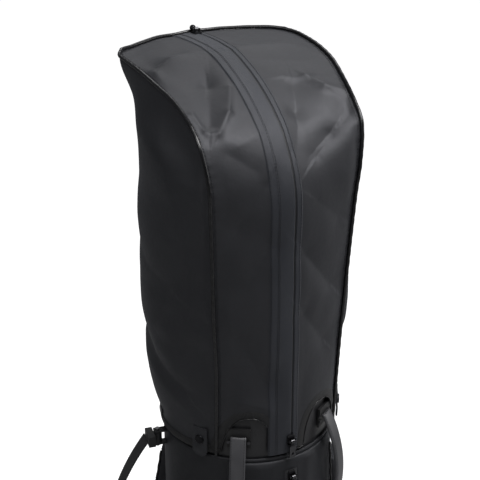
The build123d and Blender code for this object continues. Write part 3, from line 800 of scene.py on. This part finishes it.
def pullTab(name, angle):
    # a short doubled tab with a rounded lower end
    rows, uvRows = [], []
    for i in range(31):
        t = i / 30
        z = tab["top"] + (tab["low"] - tab["top"]) * t
        fall = max(0.0, (t - 0.75) / 0.25)
        half = tab["width"] / 2 * math.sqrt(max(0.02, 1 - fall**2.2))
        row, uvRow = [], []
        for j in range(13):
            w = -1 + j / 6
            bulge = 0.0006 * math.sin(z * 300) * (1 - w * w)
            base = polar(angle, tab["radius"] - 0.0010 * (1 - t) + bulge, hemZ + z)
            row.append(base + acrossAt(angle) * half * w)
            uvRow.append((w * half, z))
        rows.append(row)
        uvRows.append(uvRow)
    piece = gridPiece(name, rows, uvRows)
    finishMesh(piece, tab["thick"], 0.0, tab["edge"])
    return piece


hemBinding()
archLeft = archBinding("hoodArchLeft", -1, ("hood_arch_binding_left",))
archRight = archBinding("hoodArchRight", 1, ("hood_arch_binding_right",))
alongLines("hoodArchCord", [archLeft, archRight], cordTree, pipingCord, "hood", "binding",
           Radius=hem["cordRadius"])
tabs = [pullTab("hoodTabRight", tab["angle"]), pullTab("hoodTabLeft", -tab["angle"])]
settle(tabs[0], "hood", coatedCloth, "coated_cloth", "hood_pull_tabs")
settle(tabs[1], "hood", coatedCloth, "coated_cloth")
print("hem made")


# the bag
bag = {"radius": 0.1185, "low": 0.0105, "high": 0.7848, "columns": 200, "rows": 190, "cloth": 0.0016,
       "inset": 0.0002, "sag": 0.0011}


def clothTube():
    # one sheet round the bag, its two ends meet at the front
    rows, uvRows = [], []
    for i in range(bag["rows"] + 1):
        z = bag["low"] + (bag["high"] - bag["low"]) * i / bag["rows"]
        free = smooth(0.075, 0.13, z) * (1 - smooth(0.74, 0.78, z))
        row, uvRow = [], []
        for j in range(bag["columns"] + 1):
            angle = 360 * j / bag["columns"]
            spot = polar(angle, 1.0, z * 7)
            lump = noise.fractal(Vector((spot.x * 1.6, spot.y * 1.6, spot.z)), 1.0, 2.0, 3)
            row.append(polar(angle, bag["radius"] - bag["inset"] + free * bag["sag"] * lump, z))
            uvRow.append((j * math.tau * bag["radius"] / bag["columns"], z))
        rows.append(row)
        uvRows.append(uvRow)
    piece = gridPiece("bodyCloth", rows, uvRows)
    finishMesh(piece, bag["cloth"])
    # the bag's cloth is the darker copy of the coated cloth, with painted shade
    settle(piece, "bag", shadedLowerCloth, "coated_cloth", "body_tube")


def archProfile(t, sharp):
    return max(0.0, 1 - abs(t) ** sharp) ** (1 / 3)


sideRadii = [(0.230, 0.1360), (0.270, 0.1500), (0.602, 0.1500), (0.712, 0.1265)]
pockets = {
    "front": {"centre": 0.0, "half": 40.5, "sharp": 12, "zip": (0.384, 0.764), "node": "front_pocket",
              "tapes": ("front_pocket_zip_tape_left", "front_pocket_zip_tape_right"),
              "radii": [(0.292, 0.1340), (0.322, 0.1467), (0.380, 0.1460), (0.580, 0.1346), (0.768, 0.1240),
                        (0.780, 0.1210)]},
    "right": {"centre": 84.0, "half": 27.0, "sharp": 9, "zip": (0.282, 0.590), "node": "right_pocket",
              "tapes": ("right_pocket_zip_tapes",), "radii": sideRadii},
    "left": {"centre": -152.0, "half": 25.0, "sharp": 9, "zip": (0.282, 0.590), "node": "left_pocket",
             "tapes": ("left_pocket_zip_tapes",), "radii": sideRadii},
}
pocketLook = {
    "cloth": 0.0012, "meanRadius": 0.14, "blur": (-0.024, -0.012, 0.0, 0.012, 0.024), "gap": 0.0004,
    "lump": 0.0024, "crease": 0.0004, "columns": 96, "rows": 170,
}
pocketTrim = {
    "tapeHalf": 0.0095, "tapeLift": 0.0007, "tooth": {"Spacing": 0.0018, "Length": 0.0012, "Width": 0.0017},
    "zipStitches": (-0.8, 0.8, -1.25, 1.25), "edgeStitches": (-0.84, 0.84), "piping": (-0.935, 0.935),
    "pipingRadius": 0.0016, "endGaps": (0.016, 0.014),
}


def straightKeys(keys, z):
    i = next((k for k in range(len(keys) - 1) if z <= keys[k + 1][0]), len(keys) - 2)
    share = min(1.0, max(0.0, (z - keys[i][0]) / (keys[i + 1][0] - keys[i][0])))
    return keys[i][1] + (keys[i + 1][1] - keys[i][1]) * share


def pocketPoint(name, t, z, lift=0.0):
    # t from -1 to 1 across the pocket
    spec = pockets[name]
    keys = spec["radii"]
    blur = pocketLook["blur"]
    flat = sum(straightKeys(keys, z + off) for off in blur) / len(blur)
    low, high = keys[0][0], keys[-1][0]
    ends = min(1.0, max(0.0, (z - low) / 0.012)) * min(1.0, max(0.0, (high - z) / 0.008))
    rise = (flat - bag["radius"]) * archProfile(t, spec["sharp"]) * (0.15 + 0.85 * math.sqrt(max(0.0, ends)))
    angle = spec["centre"] + spec["half"] * t
    away = smooth(0.17, 0.34, abs(t)) * (1 - smooth(0.75, 0.95, abs(t)))
    lump = noise.fractal(Vector((t * 2.1 + spec["centre"], z * 9, 3.1)), 1.0, 2.0, 3)
    crease = pocketLook["crease"] * math.sin(z * 330) * smooth(0.8, 0.95, abs(t))
    drape = pocketLook["lump"] * lump * away * smooth(0.0, 1.0, ends)
    return polar(angle, bag["radius"] + pocketLook["gap"] + rise + drape + crease + lift, z)


def pocketLine(name, t, low, high, count, lift):
    return [pocketPoint(name, t, low + (high - low) * i / count, lift) for i in range(count + 1)]


def pocketShell(name):
    spec = pockets[name]
    low, high = spec["radii"][0][0], spec["radii"][-1][0]
    rows, uvRows = [], []
    columns, count = pocketLook["columns"], pocketLook["rows"]
    for i in range(count + 1):
        f = i / count
        z = low + (high - low) * (f - 0.06 * math.sin(math.tau * f))
        row, uvRow = [], []
        for j in range(columns + 1):
            w = -1 + 2 * j / columns
            t = math.copysign(1 - (1 - abs(w)) ** 1.7, w)
            row.append(pocketPoint(name, t, z))
            uvRow.append((math.radians(spec["half"] * t) * pocketLook["meanRadius"], z))
        rows.append(row)
        uvRows.append(uvRow)
    piece = gridPiece(name + "PocketShell", rows, uvRows)
    finishMesh(piece, pocketLook["cloth"])
    settle(piece, "bag", shadedLowerCloth, "coated_cloth", spec["node"])


def pocketZip(name):
    # tape, teeth and stitches of a pocket's zip, which runs up its middle
    spec = pockets[name]
    low, high = spec["zip"]
    half = pocketTrim["tapeHalf"]
    reach = math.degrees(half / pocketLook["meanRadius"]) / spec["half"]
    rows, uvRows = [], []
    for i in range(121):
        z = low + (high - low) * i / 120
        row = []
        for j in range(13):
            row.append(pocketPoint(name, reach * (-1 + j / 6), z, pocketTrim["tapeLift"] if 0 < j < 12 else 0.0001))
        rows.append(row)
        uvRows.append([(half * (-1 + j / 6), z) for j in range(13)])
    settle(gridPiece(name + "ZipTape", rows, uvRows), "bag", zipTape, "zip_tape", *spec["tapes"])
    count = int((high - low) / pocketTrim["tooth"]["Spacing"])
    sides = [pocketLine(name, k * reach * 0.1, low, high, count, 0.0010) for k in (-1, 1)]
    alongLines(name + "ZipTeeth", sides, stitchTree, coilPlastic, "bag", "zip_coil", **pocketTrim["tooth"])
    lowZ = spec["radii"][0][0] + pocketTrim["endGaps"][0]
    highZ = spec["radii"][-1][0] - pocketTrim["endGaps"][1]
    sewn = [pocketLine(name, k * reach, low, high, 90, 0.0008) for k in pocketTrim["zipStitches"]]
    sewn += [pocketLine(name, k, lowZ, highZ, 110, 0.0004) for k in pocketTrim["edgeStitches"]]
    alongLines(name + "PocketStitches", sewn, stitchTree, threadMat, "bag", "piping", **trim["stitch"])
    edges = [pocketLine(name, k, lowZ, highZ, 90, 0.0012) for k in pocketTrim["piping"]]
    alongLines(name + "PocketPiping", edges, cordTree, pipingCord, "bag", "piping", Radius=pocketTrim["pipingRadius"])


clothTube()
for name in pockets:
    pocketShell(name)
for name in pockets:
    pocketZip(name)
print("bag and pockets made")


# straps and grips
def arcThrough(a, b, c, count):
    # points on the circle through three points of a plane
    ax, ay, bx, by, cx, cy = *a, *b, *c
    d = 2 * (ax * (by - cy) + bx * (cy - ay) + cx * (ay - by))
    sq = [ax * ax + ay * ay, bx * bx + by * by, cx * cx + cy * cy]
    ox = (sq[0] * (by - cy) + sq[1] * (cy - ay) + sq[2] * (ay - by)) / d
    oy = (sq[0] * (cx - bx) + sq[1] * (ax - cx) + sq[2] * (bx - ax)) / d
    r = math.hypot(ax - ox, ay - oy)
    start = math.atan2(ay - oy, ax - ox)
    turn = math.atan2(cy - oy, cx - ox) - start
    turn = (turn + math.pi) % math.tau - math.pi
    return [(ox + r * math.cos(start + turn * i / count), oy + r * math.sin(start + turn * i / count))
            for i in range(count + 1)]


bandPoints = 28  # round one cut through a band


def bandAlong(name, places, sideways, width, thick, crown=0.0, taper=0.0):
    # a closed band with rounded edges; crown swells its middle, taper narrows its ends
    rows, uvRows, run = [], [], 0.0
    for i, p in enumerate(places):
        before, after = places[max(i - 1, 0)], places[min(i + 1, len(places) - 1)]
        way = (after - before).normalized()
        out = way.cross(sideways).normalized()
        run += (p - before).length if i else 0.0
        t = i / (len(places) - 1)
        narrow = 1 - taper * (1 - math.sqrt(max(0.0, 1 - abs(2 * t - 1) ** 6)))
        row, uvRow = [], []
        for j in range(bandPoints):
            a = math.tau * j / bandPoints
            cx = math.copysign(abs(math.cos(a)) ** 0.35, math.cos(a))
            sy = math.copysign(abs(math.sin(a)) ** 0.6, math.sin(a))
            swell = 1 + crown * (1 - cx * cx) * math.sqrt(max(0.0, 1 - abs(2 * t - 1) ** 8))
            offAcross = cx * width / 2 * narrow
            offOut = sy * thick / 2 * swell * (0.3 + 0.7 * narrow)
            row.append(p + sideways * offAcross + out * offOut)
            uvRow.append((cx * width / 2, run))
        rows.append(row)
        uvRows.append(uvRow)
    piece = gridPiece(name, rows, uvRows, closed=True)
    mesh = piece.data
    work = bmesh.new()
    work.from_mesh(mesh)
    work.faces.new(work.verts[:bandPoints])
    work.verts.ensure_lookup_table()
    total = len(work.verts)
    work.faces.new([work.verts[total - bandPoints + k] for k in range(bandPoints)])
    bmesh.ops.recalc_face_normals(work, faces=work.faces)
    work.to_mesh(mesh)
    work.free()
    return piece


def swellPad(piece):
    # evens out the mesh, blows it up as cloth and holds back any point that would go too far
    scene = bpy.context.scene
    even = piece.modifiers.new("even", "REMESH")
    even.mode = "VOXEL"
    even.voxel_size = padSpec["voxel"]
    bakeDown(piece)
    before = [v.co.copy() for v in piece.data.vertices]
    cloth = piece.modifiers.new("cloth", "CLOTH")
    cloth.settings.use_pressure = True
    cloth.settings.uniform_pressure_force = padSpec["pressure"]
    cloth.settings.effector_weights.gravity = 0
    for step in range(1, padSpec["frames"] + 1):
        scene.frame_set(step)
    bakeDown(piece)
    for vertex, old in zip(piece.data.vertices, before):
        shift = vertex.co - old
        if shift.length > padSpec["cap"]:
            vertex.co = old + shift.normalized() * padSpec["cap"]
    scene.frame_set(1)
    finishMesh(piece, levels=1)
    piece.data.polygons.foreach_set("use_smooth", [True] * len(piece.data.polygons))


grip = {
    "angle": 33.5, "top": (0.1181, 0.821), "middle": (0.1410, 0.742), "low": (0.1332, 0.676), "width": 0.021,
    "thick": 0.005, "points": 60, "stitchRows": (-0.0085, 0.0085),
    "stitch": {"Spacing": 0.0036, "Length": 0.0026, "Width": 0.0006},
}
for name, side in (("left", -1), ("right", 1)):
    turned = grip["angle"] * side
    sideways = acrossAt(turned)
    arc = arcThrough(grip["top"], grip["middle"], grip["low"], grip["points"])
    places = [polar(turned, r + grip["thick"] / 2, z) for r, z in arc]
    strap = bandAlong(name + "Grip", places, sideways, grip["width"], grip["thick"])
    settle(strap, "bag", gripRubber, "webbing", "handle_" + name)
    lines = []
    for k in grip["stitchRows"]:
        lines.append([p + sideways * k + polar(turned, grip["thick"] / 2 + 0.0001, 0) for p in places])
    alongLines(name + "GripStitches", lines, stitchTree, threadMat, "bag", "piping", **grip["stitch"])

strapSpec = {
    "angle": -100.0, "radius": 0.131, "top": 0.768, "low": 0.400, "start": 0.0154, "bulge": 0.062, "width": 0.025,
    "thick": 0.002, "lift": 0.001,
}
padSpec = {
    "from": 0.070, "to": 0.308, "width": 0.052, "thick": 0.0085, "lift": 0.0078, "crown": 0.15, "taper": 0.5,
    "voxel": 0.003, "pressure": 4.0, "cap": 0.003, "frames": 20, "stitchRows": (-0.4, 0.4), "stitchLift": 0.0062,
    "bareEnds": 8,
}
turned = strapSpec["angle"]
sideways = acrossAt(turned)
run = strapSpec["top"] - strapSpec["low"]


def strapLine(offset, count=90):
    start, rise = strapSpec["start"] + offset, strapSpec["start"] + strapSpec["bulge"] + offset
    arc = arcThrough((0.0, start), (run / 2, rise), (run, start), count)
    return [polar(turned, strapSpec["radius"] + out, strapSpec["top"] - down) for down, out in arc]


webLine = strapLine(strapSpec["lift"])
webPiece = bandAlong("shoulderWebbing", webLine, sideways, strapSpec["width"], strapSpec["thick"])
settle(webPiece, "shoulder_strap", webbing, "webbing", "strap_webbing")
padTop, padLow = strapSpec["top"] - padSpec["from"], strapSpec["top"] - padSpec["to"]
padPlaces = [p for p in strapLine(padSpec["lift"], 160) if padLow <= p.z <= padTop]
padPiece = bandAlong("shoulderPad", padPlaces, sideways, padSpec["width"], padSpec["thick"], padSpec["crown"],
                     padSpec["taper"])
swellPad(padPiece)
settle(padPiece, "shoulder_strap", padCloth, "coated_cloth", "strap_pad")
padLift = polar(turned, padSpec["stitchLift"], 0)
sewnPlaces = padPlaces[padSpec["bareEnds"]:-padSpec["bareEnds"]]
padLines = [[p + sideways * padSpec["width"] * k + padLift for p in sewnPlaces] for k in padSpec["stitchRows"]]
alongLines("padStitches", padLines, stitchTree, threadMat, "shoulder_strap", "piping", **trim["stitch"])
print("straps made")


# floor, light and camera
stageSpec = {
    "floorReach": 30, "floorColour": (0.42, 0.42, 0.42, 1), "floorGlow": 0.95, "worldColour": (0.93, 0.95, 1.0, 1),
    "worldStrength": 0.14, "eye": (-0.6355, -1.1979, 0.880), "pitch": 24.6, "turn": -27.5, "lens": 85.0,
}
far = stageSpec["floorReach"]
corners = [(-far, -far, 0), (far, -far, 0), (far, far, 0), (-far, far, 0)]
floorPlane = addMesh("floor", corners, [(0, 1, 2, 3)], smoothShade=False)
floorMat, floorTree, floorShader = newMaterial("paleFloor")
floorShader.inputs["Base Color"].default_value = stageSpec["floorColour"]
floorShader.inputs["Roughness"].default_value = 0.9
floorShader.inputs["Emission Color"].default_value = (1, 1, 1, 1)
# the floor looks white to the camera but throws little light up at the cloth
seen = floorTree.nodes.new("ShaderNodeLightPath")
glow = node(floorTree, "ShaderNodeMath", operation="MULTIPLY")
glow.inputs[1].default_value = stageSpec["floorGlow"]
floorTree.links.new(seen.outputs["Is Camera Ray"], glow.inputs[0])
floorTree.links.new(glow.outputs[0], floorShader.inputs["Emission Strength"])
paint(floorPlane, floorMat)

world = bpy.data.worlds.new("studio")
bpy.context.scene.world = world
world.use_nodes = True
world.node_tree.nodes["Background"].inputs["Color"].default_value = stageSpec["worldColour"]
world.node_tree.nodes["Background"].inputs["Strength"].default_value = stageSpec["worldStrength"]


def areaLight(name, place, aim, size, power, colour):
    data = bpy.data.lights.new(name, "AREA")
    data.shape = "RECTANGLE"
    data.size, data.size_y = size
    data.energy = power
    data.color = colour
    lamp = bpy.data.objects.new(name, data)
    lamp.location = place
    lamp.rotation_euler = (Vector(aim) - Vector(place)).to_track_quat("-Z", "Y").to_euler()
    bpy.context.scene.collection.objects.link(lamp)


# name, place, aim, size, watts, colour
lamps = (
    ("keyLight", (0.70, -0.85, 2.75), (0, 0, 1.2), (1.1, 0.9), 43, (1.0, 0.99, 0.99)),
    ("topLight", (0.9, 1.4, 3.0), (0, 0, 1.3), (1.8, 1.2), 15, (1, 1, 1)),
    ("sideLight", (2.6, -0.8, 1.5), (0, 0, 1.1), (0.8, 1.8), 15, (1, 1, 1)),
    ("frontLight", (-0.5, -0.9, 2.5), (0, 0, 1.4), (0.7, 0.6), 8, (1, 1, 1)),
    ("fillLight", (-2.4, -0.8, 2.5), (0, 0, 1.35), (0.9, 0.9), 10, (1, 1, 1)),
)
for lamp in lamps:
    areaLight(*lamp)

cameraData = bpy.data.cameras.new("camera")
cameraData.lens = stageSpec["lens"]
cameraData.sensor_width = 36.0
camera = bpy.data.objects.new("camera", cameraData)
eye = stageSpec["eye"]
camera.location = (eye[0], eye[1], eye[2] + hemZ)
camera.rotation_euler = (math.radians(90 - stageSpec["pitch"]), 0, math.radians(stageSpec["turn"]))
bpy.context.scene.collection.objects.link(camera)
bpy.context.scene.camera = camera
bpy.context.scene.view_settings.view_transform = "Standard"
print("stage made")
